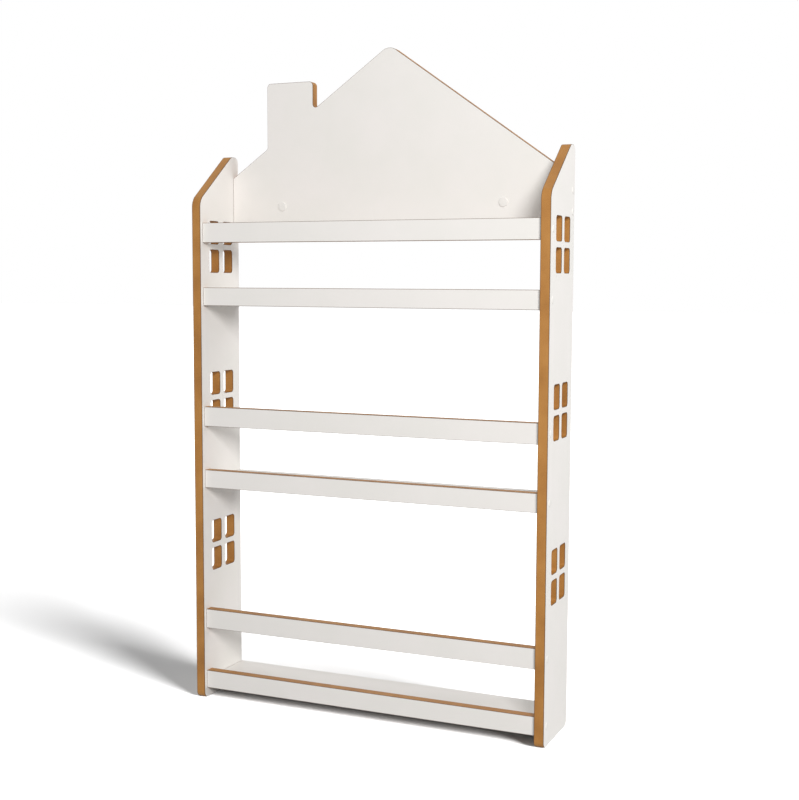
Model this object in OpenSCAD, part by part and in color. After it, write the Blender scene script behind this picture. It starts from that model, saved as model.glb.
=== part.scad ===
// House-shaped bookcase for a child's room, in millimetres.
// Two side panels carry three shelves. Each shelf has a front rail and a guard rail above it.
// A gable-shaped back panel with a chimney closes the top and holds the wall fixings.
// The front faces -Y, the floor is Z = 0 and the origin is the centre of the footprint.

/* [Overall] */
// Width over the outer faces of the side panels
overall_w = 700; // [560:1:840]
// Depth of the side panels
depth = 140; // [126:1:180]
// Thickness of every board
board = 18; // [15:0.5:21]

/* [Side panels] */
// Height of the side panels
side_h = 1044; // [940:1:1180]
// Top of the side panels to the top of the front edge
shoulder_drop = 89; // [60:1:120]
// Level part of the top edge
top_flat = 25; // [18:1:40]
// Radius of the top and bottom corners
corner_r = 12; // [4:0.5:15]
// Radius where the front edge turns into the slope
shoulder_r = 25; // [10:1:40]

/* [Windows] */
// Groups of four panes in each side panel
window_groups = 3; // [2:1:3]
// Front edge of the panel to the front panes
window_front = 31.5; // [30:0.5:36]
// Rear edge of the panel to the rear panes
window_rear = 25.5; // [22:0.5:30]
// Height of one pane
pane_h = 43; // [30:1:60]
// Upright bar between two panes
post_w = 14; // [8:1:20]
// Level bar between two panes
bar_h = 11; // [6:1:20]
// Radius of the pane corners
pane_r = 6; // [2:0.5:9]
// Height of the middle of the lowest group
window_first_z = 294; // [240:1:340]
// Middle of the highest group below the top of the front edge
window_top_drop = 86; // [80:1:110]

/* [Shelves and rails] */
// Gap between the floor and the lowest shelf
floor_gap = 19; // [10:1:40]
// Underside of the highest shelf below the top of the front edge
top_shelf_drop = 197; // [180:1:240]
// Clear height between the lowest shelf and the middle one
bottom_bay_h = 374; // [340:1:420]
// Front edge of the side panels to the rails
rail_setback = 8; // [4:0.5:10]
// Height of the rail in front of each shelf
shelf_rail_h = 34; // [28:1:40]
// Height of the rail that keeps the books in
guard_rail_h = 37; // [30:1:44]
// Underside of a shelf to the underside of its guard rail
guard_lift = 118; // [90:1:125]

/* [Gable] */
// Top of the side panels to the roof edge beside them
eave_drop = 41; // [30:1:60]
// Height of the gable panel beside the side panels
gable_edge_h = 112; // [90:1:140]
// Pitch of the roof in degrees
roof_pitch = 35.2; // [28:0.1:40]
// Radius of the roof peak
peak_r = 22; // [8:1:40]
// Width of the chimney
chimney_w = 98; // [70:1:120]
// Middle of the chimney to the middle of the gable
chimney_offset = 206.5; // [180:0.5:225]
// Top of the chimney below the sharp point of the roof
chimney_drop = 57; // [40:1:70]
// Radius of the chimney's top corners
chimney_r = 8; // [4:0.5:20]
// Radius where the chimney meets the roof
chimney_foot_r = 7; // [3:0.5:12]

/* [Wall fixing] */
// Distance between the two wall holes
wall_hole_span = 448; // [300:1:470]
// Diameter of the wall screw's hole
wall_hole_d = 6; // [4:0.5:8]
// Diameter of the recess for the screw head
wall_recess_d = 13; // [11:0.5:14]
// Depth of that recess
wall_recess_depth = 3; // [2:0.5:5]
// Diameter of the cap over the recess
wall_cap_d = 17; // [16:0.5:22]
// Height of that cap
wall_cap_h = 2; // [1.8:0.1:4]
// Radius round the outer edge of that cap
wall_cap_edge_r = 1; // [0.5:0.1:1.4]
// Thickness of that cap and of its skirt
wall_cap_wall = 1.2; // [0.8:0.1:1.6]

/* [Screws and dowels] */
// Diameter of the screws through the side panels
screw_d = 6; // [5:0.5:7]
// Length of these screws
screw_l = 50; // [40:1:60]
// Diameter of their flat heads
head_d = 10; // [9.5:0.5:12]
// Width of the socket in the head, across its flats
socket_w = 4; // [3:0.5:4.5]
// Depth of that socket
socket_depth = 2.6; // [2:0.1:3.5]
// Outer face of the panel to the screw head
head_sink = 0.6; // [0.3:0.1:1]
// Distance between the two screws in each end of the gable panel
gable_screw_gap = 37; // [25:1:60]
// Diameter of the cap over each screw
cap_d = 13; // [12.5:0.5:16]
// Height of that cap
cap_h = 0.8; // [0.6:0.1:2]
// Radius round the outer edge of that cap
cap_edge_r = 0.4; // [0.2:0.1:0.5]
// Diameter of the dowels in the shelf ends and shelf fronts
shelf_dowel_d = 8; // [6:0.5:9]
// Diameter of the dowels in the rail ends
rail_dowel_d = 6; // [5:0.5:7]
// Length of every dowel
dowel_l = 30; // [24:1:36]
// Depth of the dowel holes in the face of a board
dowel_seat = 11; // [8:0.5:12]
// Distance between a rail's screw and its dowel
rail_dowel_gap = 10; // [8.5:0.5:11]
// Distance between the two dowels in each end of a shelf
shelf_dowel_gap = 57; // [40:1:64]
// Distance between the dowels along the front of a shelf
front_dowel_gap = 220; // [120:1:240]
// Space all round a screw or dowel in its hole
fit = 0.1; // [0.05:0.05:0.2]

/* [Hidden] */
$fn = 128;

face_white = [0.92, 0.91, 0.88];
cap_white = [0.95, 0.95, 0.93];
steel = [0.72, 0.73, 0.74];
beech = [0.82, 0.65, 0.45];

// Length added to each cutter so that it passes through a face
cut = 1;
// Chamfer at both ends of a dowel
dowel_chamfer = 1;
// Space left at the blind end of a screw or dowel hole
end_space = 0.3;
// Makes a corner's circle cross the edges beside it, where an exact fit would only touch them
graze = 0.01;

inner_w = overall_w - 2 * board;
half_inner = inner_w / 2;
front = -depth / 2;
rear = depth / 2;

// Side panel outline, as points [Y, Z]
front_top = side_h - shoulder_drop;
side_points = [
    [front, 0],
    [rear, 0],
    [rear, side_h],
    [rear - top_flat, side_h],
    [front, front_top]
];
side_radii = [corner_r, corner_r, corner_r, corner_r, shoulder_r];

pane_w = (depth - window_front - window_rear - post_w) / 2;
window_mid_y = front + window_front + pane_w + post_w / 2;
window_last_z = front_top - window_top_drop;
window_pitch = (window_last_z - window_first_z) / (window_groups - 1);

// Undersides of the shelves, from the lowest to the highest
top_level = front_top - top_shelf_drop;
levels = [floor_gap, floor_gap + board + bottom_bay_h, top_level];
rail_front = front + rail_setback;
rail_mid_y = rail_front + board / 2;
shelf_front = rail_front + board;
shelf_d = rear - shelf_front;
shelf_mid_y = (shelf_front + rear) / 2;

// Gable outline, as points [X, Z]
eave = side_h - eave_drop;
gable_bottom = eave - gable_edge_h;
gable_mid_z = (eave + gable_bottom) / 2;
gable_mid_y = rear - board / 2;
peak = eave + half_inner * tan(roof_pitch);
chimney_left = -chimney_offset - chimney_w / 2;
chimney_right = -chimney_offset + chimney_w / 2;
chimney_top = peak - chimney_drop;
gable_points = [
    [-half_inner, gable_bottom],
    [half_inner, gable_bottom],
    [half_inner, eave],
    [0, peak],
    [chimney_right, roof_z(chimney_right)],
    [chimney_right, chimney_top],
    [chimney_left, chimney_top],
    [chimney_left, roof_z(chimney_left)],
    [-half_inner, eave]
];
gable_radii = [0, 0, 0, peak_r, -chimney_foot_r, chimney_r, chimney_r, -chimney_foot_r, 0];

// Places of the screws in a side panel, as points [Y, Z]
rail_screws = [
    for (z = levels) [rail_mid_y, z + shelf_rail_h / 2],
    for (z = levels) [rail_mid_y, z + guard_lift + guard_rail_h / 2]
];
gable_screws = [for (s = [-1, 1]) [gable_mid_y, gable_mid_z + s * gable_screw_gap / 2]];
side_screws = concat(rail_screws, gable_screws);

// Places of the dowels in a side panel, as points [Y, Z]
rail_dowels = [for (p = rail_screws) p - [0, rail_dowel_gap]];
shelf_dowels = [for (z = levels, s = [-1, 1]) [shelf_mid_y + s * shelf_dowel_gap / 2, z + board / 2]];
// Places of the dowels between a shelf and its rail, along X
front_dowels = [for (i = [-1:1]) i * front_dowel_gap];

// Height of the roof edge at a place along X
function roof_z(x) = eave + (half_inner - abs(x)) * tan(roof_pitch);
// Unit vector from one point to another
function toward(from, to) = (to - from) / norm(to - from);
// Item of a closed list, counted round its ends
function around(list, i) = list[(i + len(list)) % len(list)];

// What lies between a corner's round and its sharp point, and a little past it:
// cut away it rounds an outer corner, and added it fills an inner one
module corner_piece(points, i, radius) {
    corner = points[i];
    back = toward(corner, around(points, i - 1));
    ahead = toward(corner, around(points, i + 1));
    outward = -toward([0, 0], back + ahead);
    half_angle = acos(back * ahead) / 2;
    reach = radius / tan(half_angle);
    inner_edge = -outward * radius / 4;
    outer_edge = outward * reach;
    start = corner + back * reach;
    end = corner + ahead * reach;
    difference() {
        polygon([start + inner_edge, end + inner_edge, end + outer_edge, start + outer_edge]);
        translate(corner - outward * radius / sin(half_angle)) circle(radius + graze);
    }
}

// Outline with round corners: a radius above zero rounds an outer corner,
// one below zero fills an inner corner, and zero leaves it sharp
module rounded(points, radii) {
    difference() {
        polygon(points);
        for (i = [0:len(points) - 1]) if (radii[i] > 0) corner_piece(points, i, radii[i]);
    }
    for (i = [0:len(points) - 1]) if (radii[i] < 0) corner_piece(points, i, -radii[i]);
}

// Stands a [Y, Z] drawing up at a place along X
module along_x(x, length) {
    translate([x, 0, 0]) rotate([90, 0, 90]) linear_extrude(length) children();
}

// Stands an [X, Z] drawing up with its front face at a place along Y
module along_y(y, length) {
    translate([0, y + length, 0]) rotate([90, 0, 0]) linear_extrude(length) children();
}

// Places an upright piece at the outer face of a side panel, pointing into the bookcase
module at_side(side, places) {
    for (p = places) translate([side * overall_w / 2, p.x, p.y]) rotate([0, -side * 90, 0]) children();
}

// Places an upright piece at the inner face of a side panel, pointing outwards
module at_inner_face(side, places) {
    for (p = places) translate([side * half_inner, p.x, p.y]) rotate([0, side * 90, 0]) children();
}

// Places an upright piece at the joint between a shelf and its rail, pointing into the rail
module at_shelf_front(level) {
    for (x = front_dowels) translate([x, shelf_front, level + board / 2]) rotate([90, 0, 0]) children();
}

// Countersunk screw with its head at the bottom, thicker and longer where it is the cutter for a hole
module screw(space = 0, beyond = 0) {
    radius = screw_d / 2 + space;
    head = head_d / 2 + space;
    translate([0, 0, head_sink]) {
        cylinder(h = head - radius, r1 = head, r2 = radius);
        cylinder(h = screw_l + beyond, r = radius);
    }
}

// Hole for a screw, open at the outer face of the panel
module screw_hole() {
    screw(fit, end_space);
    translate([0, 0, -cut]) cylinder(h = head_sink + cut, r = head_d / 2 + fit);
}

// Screw with a six-sided socket in its head
module socket_screw() {
    difference() {
        screw();
        translate([0, 0, head_sink - cut]) cylinder(h = socket_depth + cut, d = socket_w / cos(30), $fn = 6);
    }
}

// Low cap on the panel with a round edge, and a stem in the screw's socket
module screw_cap() {
    profile = [[0, -cap_h], [cap_d / 2, -cap_h], [cap_d / 2, 0], [0, 0]];
    rotate_extrude() rounded(profile, [0, cap_edge_r, 0, 0]);
    cylinder(h = head_sink + socket_depth - end_space, d = socket_w - 2 * fit);
}

// Fluteless dowel with chamfered ends, its joint face at height zero
module dowel(diameter, seat) {
    radius = diameter / 2;
    translate([0, 0, seat - dowel_l]) {
        cylinder(h = dowel_chamfer, r1 = radius - dowel_chamfer, r2 = radius);
        translate([0, 0, dowel_chamfer]) cylinder(h = dowel_l - 2 * dowel_chamfer, r = radius);
        translate([0, 0, dowel_l - dowel_chamfer])
            cylinder(h = dowel_chamfer, r1 = radius, r2 = radius - dowel_chamfer);
    }
}

// Hole for a dowel on both sides of its joint face
module dowel_hole(diameter, seat) {
    translate([0, 0, seat - dowel_l - end_space])
        cylinder(h = dowel_l + 2 * end_space, d = diameter + 2 * fit);
}

// Cuts for everything that goes into the side panel's board or into the ends beside it
module side_fastener_holes(side) {
    at_side(side, side_screws) screw_hole();
    at_inner_face(side, rail_dowels) dowel_hole(rail_dowel_d, dowel_seat);
    at_inner_face(side, shelf_dowels) dowel_hole(shelf_dowel_d, dowel_seat);
}

// One window pane with round corners
module pane() {
    corners = [[-1, -1], [1, -1], [1, 1], [-1, 1]];
    rounded([for (c = corners) [c.x * pane_w, c.y * pane_h] / 2], [for (c = corners) pane_r]);
}

// Side panel seen from the side
module side_outline() {
    difference() {
        rounded(side_points, side_radii);
        for (g = [0:window_groups - 1], y = [-1, 1], z = [-1, 1])
            translate([
                window_mid_y + y * (pane_w + post_w) / 2,
                window_first_z + g * window_pitch + z * (pane_h + bar_h) / 2
            ]) pane();
    }
}

module side_panel(side) {
    color(face_white)
    difference() {
        along_x(side > 0 ? half_inner : -overall_w / 2, board) side_outline();
        side_fastener_holes(side);
    }
}

module gable_back_panel() {
    color(face_white)
    difference() {
        along_y(rear - board, board) rounded(gable_points, gable_radii);
        for (side = [-1, 1]) {
            at_side(side, gable_screws) screw_hole();
            translate([side * wall_hole_span / 2, rear - board, gable_mid_z]) rotate([-90, 0, 0]) {
                translate([0, 0, -cut]) cylinder(h = board + 2 * cut, d = wall_hole_d);
                translate([0, 0, -cut]) cylinder(h = wall_recess_depth + cut, d = wall_recess_d);
            }
        }
    }
}

module shelf(level) {
    color(face_white)
    difference() {
        translate([-half_inner, shelf_front, level]) cube([inner_w, shelf_d, board]);
        for (side = [-1, 1]) at_inner_face(side, shelf_dowels) dowel_hole(shelf_dowel_d, dowel_seat);
        at_shelf_front(level) dowel_hole(shelf_dowel_d, dowel_seat);
    }
}

// Rail between the side panels, cut for its screws and dowels
module rail(z, height) {
    difference() {
        translate([-half_inner, rail_front, z]) cube([inner_w, board, height]);
        for (side = [-1, 1]) {
            at_side(side, rail_screws) screw_hole();
            at_inner_face(side, rail_dowels) dowel_hole(rail_dowel_d, dowel_seat);
        }
    }
}

module shelf_rail(level) {
    color(face_white)
    difference() {
        rail(level, shelf_rail_h);
        at_shelf_front(level) dowel_hole(shelf_dowel_d, dowel_seat);
    }
}

module guard_rail(level) {
    color(face_white) rail(level + guard_lift, guard_rail_h);
}

module side_screw_set(side) {
    color(steel) at_side(side, side_screws) socket_screw();
}

module screw_cap_set(side) {
    color(cap_white) at_side(side, side_screws) screw_cap();
}

module shelf_dowel_set(side) {
    color(beech) at_inner_face(side, shelf_dowels) dowel(shelf_dowel_d, dowel_seat);
}

module rail_dowel_set(side) {
    color(beech) at_inner_face(side, rail_dowels) dowel(rail_dowel_d, dowel_seat);
}

module shelf_front_dowels() {
    color(beech)
    for (level = levels) at_shelf_front(level) dowel(shelf_dowel_d, dowel_seat);
}

// Hollow cap on the gable panel with a round edge, and a skirt that clips into the recess of a wall hole
module wall_fixing_cap() {
    skirt_r = wall_recess_d / 2 - fit;
    skirt_end = wall_recess_depth - end_space;
    hollow_r = skirt_r - wall_cap_wall;
    hollow_end = wall_cap_wall - wall_cap_h;
    profile = [
        [0, -wall_cap_h],
        [wall_cap_d / 2, -wall_cap_h],
        [wall_cap_d / 2, 0],
        [skirt_r, 0],
        [skirt_r, skirt_end],
        [hollow_r, skirt_end],
        [hollow_r, hollow_end],
        [0, hollow_end]
    ];
    rotate_extrude() rounded(profile, [0, wall_cap_edge_r, 0, 0, 0, 0, 0, 0]);
}

module wall_fixing_caps() {
    color(cap_white)
    for (side = [-1, 1])
        translate([side * wall_hole_span / 2, rear - board, gable_mid_z]) rotate([-90, 0, 0]) wall_fixing_cap();
}

side_panel(-1);  // left_side_panel
side_panel(1);  // right_side_panel
gable_back_panel();
shelf(levels[0]);  // bottom_shelf
shelf(levels[1]);  // middle_shelf
shelf(levels[2]);  // top_shelf
shelf_rail(levels[0]);  // bottom_shelf_rail
shelf_rail(levels[1]);  // middle_shelf_rail
shelf_rail(levels[2]);  // top_shelf_rail
guard_rail(levels[0]);  // bottom_guard_rail
guard_rail(levels[1]);  // middle_guard_rail
guard_rail(levels[2]);  // top_guard_rail
side_screw_set(-1);  // left_side_screws
side_screw_set(1);  // right_side_screws
screw_cap_set(-1);  // left_screw_caps
screw_cap_set(1);  // right_screw_caps
shelf_dowel_set(-1);  // left_shelf_dowels
shelf_dowel_set(1);  // right_shelf_dowels
rail_dowel_set(-1);  // left_rail_dowels
rail_dowel_set(1);  // right_rail_dowels
shelf_front_dowels();
wall_fixing_caps();
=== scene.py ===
from math import cos, pi, radians, sin, tan

import bmesh
import bpy
from mathutils import Matrix, Vector


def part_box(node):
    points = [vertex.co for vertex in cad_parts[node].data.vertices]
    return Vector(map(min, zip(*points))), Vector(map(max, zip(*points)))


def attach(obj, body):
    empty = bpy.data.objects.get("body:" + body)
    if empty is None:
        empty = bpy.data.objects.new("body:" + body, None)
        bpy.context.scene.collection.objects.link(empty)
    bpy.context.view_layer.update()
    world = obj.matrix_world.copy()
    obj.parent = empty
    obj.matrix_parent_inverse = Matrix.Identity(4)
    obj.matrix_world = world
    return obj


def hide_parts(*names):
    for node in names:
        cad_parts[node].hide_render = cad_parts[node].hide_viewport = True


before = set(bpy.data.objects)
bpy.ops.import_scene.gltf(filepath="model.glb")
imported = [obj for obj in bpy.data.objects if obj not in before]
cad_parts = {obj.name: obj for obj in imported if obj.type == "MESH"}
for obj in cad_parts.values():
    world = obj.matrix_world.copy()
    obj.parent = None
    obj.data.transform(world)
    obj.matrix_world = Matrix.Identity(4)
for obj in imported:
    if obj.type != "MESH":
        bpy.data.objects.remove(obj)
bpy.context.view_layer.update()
scene = bpy.context.scene
mm = 0.001

# The bookcase stands on z = 0 and faces -y. Boards are drawn flat, given their thickness and
# eased edges, stood in place and bored by the screws and dowels that hold them.


# Materials

def linear(hexColour):
    parts = [int(hexColour[i:i + 2], 16) / 255 for i in (1, 3, 5)]
    return [p / 12.92 if p <= 0.04045 else ((p + 0.055) / 1.055) ** 2.4 for p in parts] + [1.0]


def addNode(tree, kind, inputs=None, **settings):
    node = tree.nodes.new("ShaderNode" + kind)
    for name, value in settings.items():
        setattr(node, name, value)
    for socket, value in (inputs or {}).items():
        if isinstance(value, bpy.types.NodeSocket):
            tree.links.new(value, node.inputs[socket])
        else:
            node.inputs[socket].default_value = value
    return node


def newMaterial(name):
    material = bpy.data.materials.new(name)
    material.use_nodes = True
    tree = material.node_tree
    tree.nodes.clear()
    return material, tree


def giveSurface(tree, shader):
    addNode(tree, "OutputMaterial", {"Surface": shader})


# Melamine paper pressed onto the board: warm white and satin, with the press plate's fine
# pearl grain, so that highlights break up softly
def whiteMelamineFace():
    look = {"colour": "#EEEAE6", "cloudColour": "#EBE8E3", "cloud": 90 * mm, "cloudBand": (0.35, 0.65),
            "pearl": 0.7 * mm, "pearlBand": (0.3, 0.7), "pearlDepth": 0.012 * mm, "roughness": (0.36, 0.48)}
    material, tree = newMaterial("whiteMelamineFace")
    place = addNode(tree, "TexCoord").outputs["Object"]
    cloud = addNode(tree, "TexNoise", {"Vector": place, "Scale": 1 / look["cloud"], "Detail": 3.0})
    pearl = addNode(tree, "TexNoise", {"Vector": place, "Scale": 1 / look["pearl"], "Detail": 2.0})
    tone = addNode(tree, "MapRange", {
        "Value": cloud.outputs["Fac"],
        "From Min": look["cloudBand"][0], "From Max": look["cloudBand"][1]})
    colour = addNode(tree, "Mix", {
        "Factor": tone.outputs["Result"], "A": linear(look["colour"]),
        "B": linear(look["cloudColour"])}, data_type="RGBA")
    rough = addNode(tree, "MapRange", {
        "Value": pearl.outputs["Fac"],
        "From Min": look["pearlBand"][0], "From Max": look["pearlBand"][1],
        "To Min": look["roughness"][0], "To Max": look["roughness"][1]})
    grain = addNode(tree, "Bump", {"Height": pearl.outputs["Fac"], "Distance": look["pearlDepth"]})
    paper = addNode(tree, "BsdfPrincipled", {
        "Base Color": colour.outputs["Result"], "Roughness": rough.outputs["Result"],
        "Normal": grain.outputs["Normal"], "IOR": 1.5})
    giveSurface(tree, paper.outputs["BSDF"])
    return material


# Routed and clear-lacquered MDF: caramel brown, flecked with pale and dark fibres that lie in
# the plane of the board, and darker in the last millimetres below both faces: partly the board's
# denser face layer, partly painted shade along the rounded arrises
def lacqueredCutEdge():
    look = {"dark": "#8A5A22", "darkAt": 0.38, "middle": "#AC7431", "middleAt": 0.49,
            "pale": "#C28D4A", "paleAt": 0.63, "fleckLength": 3.5 * mm, "fleckHeight": 0.7 * mm,
            "fleckBand": (0.3, 0.7), "fleckDepth": 0.005 * mm, "cloud": 60 * mm, "cloudShare": 0.3,
            "thickness": 18 * mm, "skinAndArrisShade": "#3A3029", "skinAndShadeDepth": 1.5 * mm, "skinAndShadeCover": 0.8,
            "darkestDepth": 0.5 * mm, "roughness": (0.48, 0.62)}
    material, tree = newMaterial("lacqueredCutEdge")
    place = addNode(tree, "TexCoord").outputs["Object"]
    board = addNode(tree, "UVMap", uv_map="acrossBoard")
    across = addNode(tree, "SeparateXYZ", {"Vector": board.outputs["UV"]})
    layer = addNode(tree, "Math", {
        0: across.outputs["X"], 1: look["thickness"] / look["fleckHeight"]}, operation="MULTIPLY")
    fleck = addNode(tree, "TexNoise", {
        "Vector": place, "W": layer.outputs["Value"], "Scale": 1 / look["fleckLength"], "Detail": 4.0,
        "Roughness": 0.65}, noise_dimensions="4D")
    cloud = addNode(tree, "TexNoise", {"Vector": place, "Scale": 1 / look["cloud"], "Detail": 2.0})
    mixed = addNode(tree, "Mix", {
        "Factor": look["cloudShare"], "A": fleck.outputs["Fac"], "B": cloud.outputs["Fac"]},
        data_type="FLOAT")
    ramp = addNode(tree, "ValToRGB", {"Fac": mixed.outputs["Result"]})
    stops = ramp.color_ramp.elements
    stops[0].position = look["darkAt"]
    stops[0].color = linear(look["dark"])
    stops[1].position = look["paleAt"]
    stops[1].color = linear(look["pale"])
    stops.new(look["middleAt"]).color = linear(look["middle"])
    centred = addNode(tree, "Math", {0: across.outputs["X"], 1: 0.5}, operation="SUBTRACT")
    fromMiddle = addNode(tree, "Math", {0: centred.outputs["Value"]}, operation="ABSOLUTE")
    # Dark band below both faces, darkest over the rounded arrises: partly the board's denser face layer,
    # partly painted shade
    skinAndArrisShade = addNode(tree, "MapRange", {
        "Value": fromMiddle.outputs["Value"],
        "From Min": 0.5 - look["skinAndShadeDepth"] / look["thickness"],
        "From Max": 0.5 - look["darkestDepth"] / look["thickness"],
        "To Max": look["skinAndShadeCover"]}, interpolation_type="SMOOTHSTEP")
    colour = addNode(tree, "Mix", {
        "Factor": skinAndArrisShade.outputs["Result"], "A": ramp.outputs["Color"],
        "B": linear(look["skinAndArrisShade"])}, data_type="RGBA")
    rough = addNode(tree, "MapRange", {
        "Value": fleck.outputs["Fac"],
        "From Min": look["fleckBand"][0], "From Max": look["fleckBand"][1],
        "To Min": look["roughness"][0], "To Max": look["roughness"][1]})
    grain = addNode(tree, "Bump", {"Height": fleck.outputs["Fac"], "Distance": look["fleckDepth"]})
    fibre = addNode(tree, "BsdfPrincipled", {
        "Base Color": colour.outputs["Result"], "Roughness": rough.outputs["Result"],
        "Normal": grain.outputs["Normal"], "IOR": 1.5})
    giveSurface(tree, fibre.outputs["BSDF"])
    return material


# Moulded polystyrene: plain white with a slight gloss and the mould's faint flow marks
def mouldedCapPlastic():
    look = {"colour": "#EBE8E4", "flowColour": "#E7E4DF", "flow": 3 * mm, "roughness": (0.4, 0.5)}
    material, tree = newMaterial("mouldedCapPlastic")
    place = addNode(tree, "TexCoord").outputs["Object"]
    flow = addNode(tree, "TexNoise", {
        "Vector": place, "Scale": 1 / look["flow"], "Detail": 2.0, "Distortion": 0.6})
    colour = addNode(tree, "Mix", {
        "Factor": flow.outputs["Fac"], "A": linear(look["colour"]),
        "B": linear(look["flowColour"])}, data_type="RGBA")
    rough = addNode(tree, "MapRange", {
        "Value": flow.outputs["Fac"],
        "To Min": look["roughness"][0], "To Max": look["roughness"][1]})
    plastic = addNode(tree, "BsdfPrincipled", {
        "Base Color": colour.outputs["Result"], "Roughness": rough.outputs["Result"], "IOR": 1.49})
    giveSurface(tree, plastic.outputs["BSDF"])
    return material


# Zinc-plated steel: a cool grey metal with the faint mottle of passivated plating
def zincPlatedSteel():
    look = {"colour": "#B9BBBD", "mottleColour": "#A9ADB2", "mottle": 1.5 * mm, "roughness": (0.24, 0.42)}
    material, tree = newMaterial("zincPlatedSteel")
    place = addNode(tree, "TexCoord").outputs["Object"]
    mottle = addNode(tree, "TexNoise", {"Vector": place, "Scale": 1 / look["mottle"], "Detail": 3.0})
    colour = addNode(tree, "Mix", {
        "Factor": mottle.outputs["Fac"], "A": linear(look["colour"]),
        "B": linear(look["mottleColour"])}, data_type="RGBA")
    rough = addNode(tree, "MapRange", {
        "Value": mottle.outputs["Fac"],
        "To Min": look["roughness"][0], "To Max": look["roughness"][1]})
    metal = addNode(tree, "BsdfPrincipled", {
        "Base Color": colour.outputs["Result"], "Roughness": rough.outputs["Result"], "Metallic": 1.0})
    giveSurface(tree, metal.outputs["BSDF"])
    return material


# Bare turned beech: pinkish tan, with short darker rays along the dowel
def turnedBeech(name, alongAxis):
    look = {"colour": "#D0A777", "rayColour": "#B4814F", "rayLength": 6 * mm, "rayWidth": 0.5 * mm,
            "rayBand": (0.55, 0.7), "rayDepth": 0.05 * mm, "roughness": 0.62}
    material, tree = newMaterial(name)
    place = addNode(tree, "TexCoord").outputs["Object"]
    scale = [1 / look["rayLength"] if axis == alongAxis else 1 / look["rayWidth"] for axis in "xyz"]
    stretched = addNode(tree, "Mapping", {"Vector": place, "Scale": scale})
    rays = addNode(tree, "TexNoise", {"Vector": stretched.outputs["Vector"], "Scale": 1.0, "Detail": 2.0})
    tone = addNode(tree, "MapRange", {
        "Value": rays.outputs["Fac"],
        "From Min": look["rayBand"][0], "From Max": look["rayBand"][1]})
    colour = addNode(tree, "Mix", {
        "Factor": tone.outputs["Result"], "A": linear(look["colour"]),
        "B": linear(look["rayColour"])}, data_type="RGBA")
    grain = addNode(tree, "Bump", {"Height": rays.outputs["Fac"], "Distance": look["rayDepth"]})
    wood = addNode(tree, "BsdfPrincipled", {
        "Base Color": colour.outputs["Result"], "Roughness": look["roughness"],
        "Normal": grain.outputs["Normal"], "IOR": 1.5})
    giveSurface(tree, wood.outputs["BSDF"])
    return material


boardMaterials = [whiteMelamineFace(), lacqueredCutEdge()]
capPlastic = mouldedCapPlastic()
print("materials made")


# Boards

eased = {"radius": 0.7 * mm, "steps": 3, "cornerSegments": 10}

# Corners of CAD triangles closer than "joined" are one point, a face nearer than "flush" to a
# broad face belongs to it, and what boring leaves narrower than "sliver" is merged away
tolerance = {"joined": 0.001 * mm, "flush": 0.01 * mm, "sliver": 0.1 * mm}

# Edges that turn by less than this are shaded smooth
smoothTurn = radians(35)


# Rounded outline in the drawing plane from corners (across, up, radius)
def drawOutline(bm, corners):
    verts = [bm.verts.new((across, up, 0)) for across, up, radius in corners]
    bm.faces.new(verts)
    for vert, (across, up, radius) in zip(verts, corners):
        if radius:
            ways = [edge.other_vert(vert).co - vert.co for edge in vert.link_edges]
            bmesh.ops.bevel(bm, geom=[vert], offset=radius / tan(ways[0].angle(ways[1]) / 2),
                            affect="VERTICES", segments=eased["cornerSegments"], profile=0.5,
                            material=-1)


# Flat drawing with its holes to a board of this thickness, every edge eased by the same radius
def cutBoard(outline, thickness, holes=()):
    bm = bmesh.new()
    for corners in [outline, *holes]:
        drawOutline(bm, corners)
    bmesh.ops.delete(bm, geom=bm.faces[:], context="FACES_ONLY")
    bmesh.ops.triangle_fill(bm, edges=bm.edges[:], use_beauty=True)
    bmesh.ops.translate(bm, verts=bm.verts[:], vec=(0, 0, eased["radius"]))
    lifted = bmesh.ops.extrude_face_region(bm, geom=bm.faces[:])["geom"]
    bmesh.ops.translate(bm, verts=[item for item in lifted if isinstance(item, bmesh.types.BMVert)],
                        vec=(0, 0, thickness - 2 * eased["radius"]))
    bmesh.ops.recalc_face_normals(bm, faces=bm.faces[:])
    turns = [step * pi / 2 / eased["steps"] for step in range(eased["steps"] + 1)]
    for side in (-1, 1):
        broad = [face for face in bm.faces if face.normal.z * side > 0.99]
        for start, end in zip(turns, turns[1:]):
            bmesh.ops.inset_region(bm, faces=broad, use_even_offset=True, use_boundary=True,
                                   thickness=eased["radius"] * (cos(start) - cos(end)),
                                   depth=eased["radius"] * (sin(end) - sin(start)))
    return bm


# The board's drawing plane and thickness to the bookcase's axes, such as "yzx" for a side panel
def standUp(bm, axes, low):
    turn = Matrix([[axes[column] == axis for column in range(3)] for axis in "xyz"]).to_4x4()
    shift = Vector([low if axes[2] == axis else 0 for axis in "xyz"])
    bmesh.ops.transform(bm, matrix=Matrix.Translation(shift) @ turn, verts=bm.verts[:])
    bmesh.ops.recalc_face_normals(bm, faces=bm.faces[:])


# Copy of a CAD node with its loose triangles joined
def mergedCopy(node):
    bm = bmesh.new()
    bm.from_mesh(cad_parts[node].data)
    bmesh.ops.remove_doubles(bm, verts=bm.verts[:], dist=tolerance["joined"])
    return bm


def newObject(name, bm):
    mesh = bpy.data.meshes.new(name)
    bm.to_mesh(mesh)
    bm.free()
    piece = bpy.data.objects.new(name, mesh)
    scene.collection.objects.link(piece)
    return piece


# Bores the board where these screws, dowels and caps sit in it
def bore(piece, fasteners):
    cutters = [newObject(node + "Cutter", mergedCopy(node)) for node in fasteners]
    for cutter in cutters:
        cut = piece.modifiers.new("bores", "BOOLEAN")
        cut.operation = "DIFFERENCE"
        cut.solver = "EXACT"
        cut.object = cutter
    boredPiece = piece.evaluated_get(bpy.context.evaluated_depsgraph_get())
    cutMesh = bpy.data.meshes.new_from_object(boredPiece)
    piece.modifiers.clear()
    piece.data = cutMesh
    for cutter in cutters:
        bpy.data.objects.remove(cutter)


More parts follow.
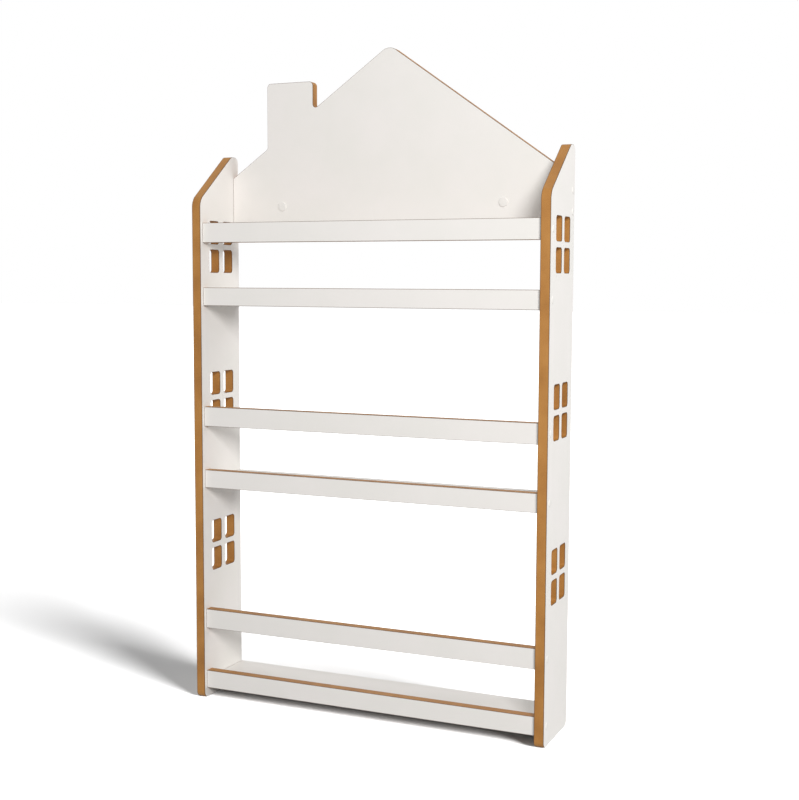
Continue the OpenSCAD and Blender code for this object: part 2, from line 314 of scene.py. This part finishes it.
# White on the two broad faces and lacquered fibre everywhere else, with a map that runs across
# the thickness
def finishBoard(piece, node, thicknessAxis):
    low, high = (corner[thicknessAxis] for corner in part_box(node))
    bm = bmesh.new()
    bm.from_mesh(piece.data)
    bmesh.ops.remove_doubles(bm, verts=bm.verts[:], dist=tolerance["sliver"])
    across = bm.loops.layers.uv.get("acrossBoard") or bm.loops.layers.uv.new("acrossBoard")
    for face in bm.faces:
        middle = face.calc_center_median()
        depth = min(abs(middle[thicknessAxis] - low), abs(middle[thicknessAxis] - high))
        face.material_index = 0 if depth < tolerance["flush"] else 1
        face.smooth = True
        for loop in face.loops:
            place = loop.vert.co
            through = (place[thicknessAxis] - low) / (high - low)
            loop[across].uv = (through, sum(place) - place[thicknessAxis])
    for edge in bm.edges:
        edge.smooth = edge.is_manifold and edge.calc_face_angle() < smoothTurn
    piece.data.materials.clear()
    for material in boardMaterials:
        piece.data.materials.append(material)
    bm.to_mesh(piece.data)
    bm.free()
    flat = piece.modifiers.new("flatFaces", "WEIGHTED_NORMAL")
    flat.keep_sharp = True
    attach(piece, "root")
    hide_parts(node)


# Side panels: level top at the rear, slope down to the shoulder of the front edge,
# and three windows of four panes
sidePanel = {"shoulderHeight": 955 * mm, "topFlat": 25 * mm, "cornerRadius": 12 * mm,
             "shoulderRadius": 25 * mm, "windowMiddles": (294 * mm, 581.5 * mm, 869 * mm),
             "windowCentre": 3 * mm, "paneWidth": 34.5 * mm, "paneHeight": 43 * mm,
             "paneRadius": 6 * mm, "postWidth": 14 * mm, "barHeight": 11 * mm}


def paneOutline(centreY, centreZ):
    halfWidth = sidePanel["paneWidth"] / 2
    halfHeight = sidePanel["paneHeight"] / 2
    return [(centreY + across * halfWidth, centreZ + up * halfHeight, sidePanel["paneRadius"])
            for across, up in ((-1, -1), (1, -1), (1, 1), (-1, 1))]


def makeSidePanel(name, node, fasteners):
    low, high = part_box(node)
    corner = sidePanel["cornerRadius"]
    outline = [(low.y, low.z, corner), (high.y, low.z, corner), (high.y, high.z, corner),
               (high.y - sidePanel["topFlat"], high.z, corner),
               (low.y, sidePanel["shoulderHeight"], sidePanel["shoulderRadius"])]
    stepY = (sidePanel["paneWidth"] + sidePanel["postWidth"]) / 2
    stepZ = (sidePanel["paneHeight"] + sidePanel["barHeight"]) / 2
    panes = [paneOutline(sidePanel["windowCentre"] + across * stepY, middle + up * stepZ)
             for middle in sidePanel["windowMiddles"] for across in (-1, 1) for up in (-1, 1)]
    bm = cutBoard(outline, high.x - low.x, panes)
    standUp(bm, "yzx", low.x)
    piece = newObject(name, bm)
    bore(piece, fasteners)
    finishBoard(piece, node, 0)


for side in ("left", "right"):
    makeSidePanel(side + "SidePanel", side + "_side_panel",
                  [side + "_side_screws", side + "_shelf_dowels", side + "_rail_dowels"])
print("side panels made")


# Gable back panel: a roof with a chimney on its left slope
gable = {"roofPitch": radians(35.2), "eaveHeight": 1003 * mm, "peakRadius": 22 * mm,
         "chimneyLeft": -255.5 * mm, "chimneyRight": -157.5 * mm, "chimneyDrop": 57 * mm,
         "chimneyRadius": 8 * mm, "footRadius": 7 * mm}


def makeGable():
    low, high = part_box("gable_back_panel")
    peak = gable["eaveHeight"] + high.x * tan(gable["roofPitch"])

    def onRoof(x):
        return peak - abs(x) * tan(gable["roofPitch"])

    chimneyTop = peak - gable["chimneyDrop"]
    outline = [(low.x, low.z, 0), (high.x, low.z, 0), (high.x, onRoof(high.x), 0),
               (0, peak, gable["peakRadius"]),
               (gable["chimneyRight"], onRoof(gable["chimneyRight"]), gable["footRadius"]),
               (gable["chimneyRight"], chimneyTop, gable["chimneyRadius"]),
               (gable["chimneyLeft"], chimneyTop, gable["chimneyRadius"]),
               (gable["chimneyLeft"], onRoof(gable["chimneyLeft"]), gable["footRadius"]),
               (low.x, onRoof(low.x), 0)]
    bm = cutBoard(outline, high.y - low.y)
    standUp(bm, "xzy", low.y)
    piece = newObject("gableBackPanel", bm)
    bore(piece, ["left_side_screws", "right_side_screws", "wall_fixing_caps"])
    finishBoard(piece, "gable_back_panel", 1)


makeGable()
print("gable made")


# Shelves and rails: plain boards between the side panels
def makeStraightBoard(name, node, axes, fasteners):
    low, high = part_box(node)
    across, up, through = ("xyz".index(axis) for axis in axes)
    outline = [(low[across], low[up], 0), (high[across], low[up], 0), (high[across], high[up], 0),
               (low[across], high[up], 0)]
    bm = cutBoard(outline, high[through] - low[through])
    standUp(bm, axes, low[through])
    piece = newObject(name, bm)
    bore(piece, fasteners)
    finishBoard(piece, node, through)


for level in ("bottom", "middle", "top"):
    makeStraightBoard(level + "Shelf", level + "_shelf", "xyz",
                      ["left_shelf_dowels", "right_shelf_dowels", "shelf_front_dowels"])
    makeStraightBoard(level + "ShelfRail", level + "_shelf_rail", "xzy",
                      ["left_side_screws", "right_side_screws", "left_rail_dowels", "right_rail_dowels",
                       "shelf_front_dowels"])
    makeStraightBoard(level + "GuardRail", level + "_guard_rail", "xzy",
                      ["left_side_screws", "right_side_screws", "left_rail_dowels", "right_rail_dowels"])
print("shelves and rails made")


# Caps

moulded = {"segments": 64, "rimSegments": 5}


# Middle of every separate solid in a CAD node
def solidMiddles(node):
    bm = mergedCopy(node)
    left = set(bm.verts)
    middles = []
    while left:
        found = set()
        waiting = [left.pop()]
        while waiting:
            vert = waiting.pop()
            found.add(vert)
            fresh = [edge.other_vert(vert) for edge in vert.link_edges if edge.other_vert(vert) in left]
            left.difference_update(fresh)
            waiting.extend(fresh)
        low = Vector([min(vert.co[i] for vert in found) for i in range(3)])
        high = Vector([max(vert.co[i] for vert in found) for i in range(3)])
        middles.append((low + high) / 2)
    bm.free()
    return sorted(middles, key=lambda middle: (middle.x, middle.z))


# One cap drawn with its back at height zero and pointing up, copied to each place
def placeCaps(name, node, cap, turn, backs):
    bm = bmesh.new()
    one = bpy.data.meshes.new(name + "One")
    cap.to_mesh(one)
    cap.free()
    for back in backs:
        start = len(bm.verts)
        bm.from_mesh(one)
        bm.verts.ensure_lookup_table()
        bmesh.ops.transform(bm, matrix=Matrix.Translation(back) @ turn, verts=bm.verts[start:])
    bmesh.ops.recalc_face_normals(bm, faces=bm.faces[:])
    for face in bm.faces:
        face.smooth = True
    for edge in bm.edges:
        edge.smooth = edge.calc_face_angle() < smoothTurn
    piece = newObject(name, bm)
    bpy.data.meshes.remove(one)
    piece.data.materials.append(capPlastic)
    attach(piece, "root")
    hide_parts(node)


# Extrudes these faces along z and gives back the moved ones
def push(bm, faces, distance):
    moved = bmesh.ops.extrude_face_region(bm, geom=faces)["geom"]
    bmesh.ops.delete(bm, geom=faces, context="FACES_ONLY")
    bmesh.ops.translate(bm, verts=[item for item in moved if isinstance(item, bmesh.types.BMVert)],
                        vec=(0, 0, distance))
    return [item for item in moved if isinstance(item, bmesh.types.BMFace)]


# Low disc with a rounded rim, and a stem or a hollow skirt behind it
def makeCap(cap):
    bm = bmesh.new()
    bmesh.ops.create_cone(bm, cap_ends=True, segments=moulded["segments"], radius1=cap["radius"],
                          radius2=cap["radius"], depth=cap["height"])
    bmesh.ops.translate(bm, verts=bm.verts[:], vec=(0, 0, cap["height"] / 2))
    top = [face for face in bm.faces if face.normal.z > 0.9]
    bmesh.ops.bevel(bm, geom=top[0].edges[:], offset=cap["rimRadius"], affect="EDGES",
                    segments=moulded["rimSegments"], profile=0.5, material=-1)
    back = [face for face in bm.faces if face.normal.z < -0.9]
    bmesh.ops.inset_region(bm, faces=back, thickness=cap["radius"] - cap["tailRadius"])
    back = push(bm, back, -cap["tailLength"])
    if cap["wall"]:
        bmesh.ops.inset_region(bm, faces=back, thickness=cap["wall"])
        push(bm, back, cap["tailLength"] + cap["height"] - cap["wall"])
    return bm


# Screw caps, each with a stem for the screw's socket
screwCap = {"radius": 6.5 * mm, "height": 0.8 * mm, "rimRadius": 0.4 * mm, "tailRadius": 1.9 * mm,
            "tailLength": 2.9 * mm, "wall": 0}

for side, way in (("left", -1), ("right", 1)):
    low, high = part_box(side + "_side_panel")
    outerFace = high.x if way > 0 else low.x
    middles = solidMiddles(side + "_screw_caps")
    placeCaps(side + "ScrewCaps", side + "_screw_caps", makeCap(screwCap),
              Matrix.Rotation(way * pi / 2, 4, "Y"),
              [Vector((outerFace, middle.y, middle.z)) for middle in middles])

# Wall fixing caps, each with a hollow skirt that clips into its recess in the gable
wallCap = {"radius": 8.5 * mm, "height": 2 * mm, "rimRadius": 1 * mm, "tailRadius": 6.4 * mm,
           "tailLength": 2.7 * mm, "wall": 1.2 * mm}

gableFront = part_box("gable_back_panel")[0].y
placeCaps("wallFixingCaps", "wall_fixing_caps", makeCap(wallCap), Matrix.Rotation(pi / 2, 4, "X"),
          [Vector((middle.x, gableFront, middle.z)) for middle in solidMiddles("wall_fixing_caps")])
print("caps made")


# Screws and dowels keep their CAD shapes
def refinish(node, material):
    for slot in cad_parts[node].material_slots:
        slot.material = material


zinc = zincPlatedSteel()
beechAlongX = turnedBeech("turnedBeechAlongX", "x")
beechAlongY = turnedBeech("turnedBeechAlongY", "y")
for side in ("left", "right"):
    refinish(side + "_side_screws", zinc)
    refinish(side + "_shelf_dowels", beechAlongX)
    refinish(side + "_rail_dowels", beechAlongX)
refinish("shelf_front_dowels", beechAlongY)
print("screws and dowels finished")


# Studio

studio = {"floorSize": 60.0, "floorWhite": 0.86, "floorReflected": 0.5, "floorBounce": 0.19,
          "worldLight": 0.4, "aim": (0, 0, 0.65),
          "front": {"azimuth": 36, "height": 19, "distance": 3.4, "size": 1.1, "power": 84},
          "side": {"azimuth": 98, "height": 12, "distance": 4.4, "size": 1.1, "power": 39},
          "rear": {"azimuth": 242, "height": 2, "distance": 4.4, "size": 1.6, "power": 75},
          "floor": {"azimuth": 70, "height": 22, "strength": 13, "softness": 29}}


# One level for the camera, one for reflections, and one for the light that falls on everything else
def rayLevel(tree, seen, reflected, cast):
    path = addNode(tree, "LightPath").outputs
    mirror = addNode(tree, "Math", {
        0: path["Is Glossy Ray"], 1: path["Is Transmission Ray"]}, operation="MAXIMUM")
    level = addNode(tree, "MapRange", {
        "Value": mirror.outputs["Value"], "To Min": cast, "To Max": reflected})
    shown = addNode(tree, "MapRange", {
        "Value": path["Is Camera Ray"], "To Min": level.outputs["Result"], "To Max": seen})
    return shown.outputs["Result"]


def makeWorld():
    scene.world = bpy.data.worlds.new("studioWorld")
    scene.world.use_nodes = True
    tree = scene.world.node_tree
    tree.nodes.clear()
    level = rayLevel(tree, 1.0, 1.0, studio["worldLight"])
    light = addNode(tree, "Background", {"Color": (1, 1, 1, 1), "Strength": level})
    addNode(tree, "OutputWorld", {"Surface": light.outputs["Background"]})


def makeFloor():
    bm = bmesh.new()
    bmesh.ops.create_grid(bm, x_segments=1, y_segments=1, size=studio["floorSize"] / 2)
    floor = newObject("studioFloor", bm)
    material, tree = newMaterial("paintedStudioFloor")
    level = rayLevel(tree, studio["floorWhite"], studio["floorReflected"], studio["floorBounce"])
    colour = addNode(tree, "CombineColor", {"Red": level, "Green": level, "Blue": level})
    paint = addNode(tree, "BsdfDiffuse", {"Color": colour.outputs["Color"]})
    giveSurface(tree, paint.outputs["BSDF"])
    floor.data.materials.append(material)
    return floor


# Unit vector to a lamp: azimuth from the front towards the right, and height, both in degrees
def towardLamp(look):
    azimuth, height = radians(look["azimuth"]), radians(look["height"])
    return Vector((sin(azimuth) * cos(height), -cos(azimuth) * cos(height), sin(height)))


def newLamp(name, kind, place, direction):
    light = bpy.data.objects.new(name, bpy.data.lights.new(name, kind))
    scene.collection.objects.link(light)
    aimed = direction.to_track_quat("Z", "Y").to_matrix().to_4x4()
    light.matrix_world = Matrix.Translation(place) @ aimed
    return light


# Round softboxes light the bookcase: a strong one in front to the right, a weaker one at the
# right side, and one behind it to the left for the faces that the other two miss
def makeSoftbox(name, look):
    direction = towardLamp(look)
    softbox = newLamp(name, "AREA", Vector(studio["aim"]) + direction * look["distance"], direction)
    softbox.data.shape = "DISK"
    softbox.data.size = look["size"]
    softbox.data.energy = look["power"]
    return softbox


# A low lamp at the right lights the floor, and lays the bookcase's shadow to the left
def makeFloorLamp(name, look):
    lamp = newLamp(name, "SUN", Vector((0, 0, 0)), towardLamp(look))
    lamp.data.energy = look["strength"]
    lamp.data.angle = radians(look["softness"])
    return lamp


# Lets a lamp light the floor alone, or everything but the floor
def linkToFloor(light, floor, state):
    group = bpy.data.collections.new(light.name + "Floor")
    group.objects.link(floor)
    group.collection_objects[0].light_linking.link_state = state
    light.light_linking.receiver_collection = group


makeWorld()
floor = makeFloor()
for name in ("front", "side", "rear"):
    linkToFloor(makeSoftbox(name + "Softbox", studio[name]), floor, "EXCLUDE")
linkToFloor(makeFloorLamp("floorLamp", studio["floor"]), floor, "INCLUDE")

# Camera at the photograph's place: a little above the middle, in front and to the right
camera = {"place": (0.99092, -2.17387, 0.80907), "yaw": 23.4981, "pitch": 5.3038, "roll": 0.2117,
          "lens": 58.570, "sensor": 36.0, "reach": 200.0}


def makeCamera():
    lens = bpy.data.cameras.new("photoCamera")
    lens.lens = camera["lens"]
    lens.sensor_width = camera["sensor"]
    lens.sensor_fit = "AUTO"
    lens.clip_end = camera["reach"]
    eye = bpy.data.objects.new("photoCamera", lens)
    scene.collection.objects.link(eye)
    turn = Matrix.Rotation(radians(camera["yaw"]), 4, "Z")
    tilt = Matrix.Rotation(radians(90 - camera["pitch"]), 4, "X")
    roll = Matrix.Rotation(radians(camera["roll"]), 4, "Z")
    eye.matrix_world = Matrix.Translation(camera["place"]) @ turn @ tilt @ roll
    scene.camera = eye


makeCamera()
scene.view_settings.view_transform = "Standard"
print("studio made")
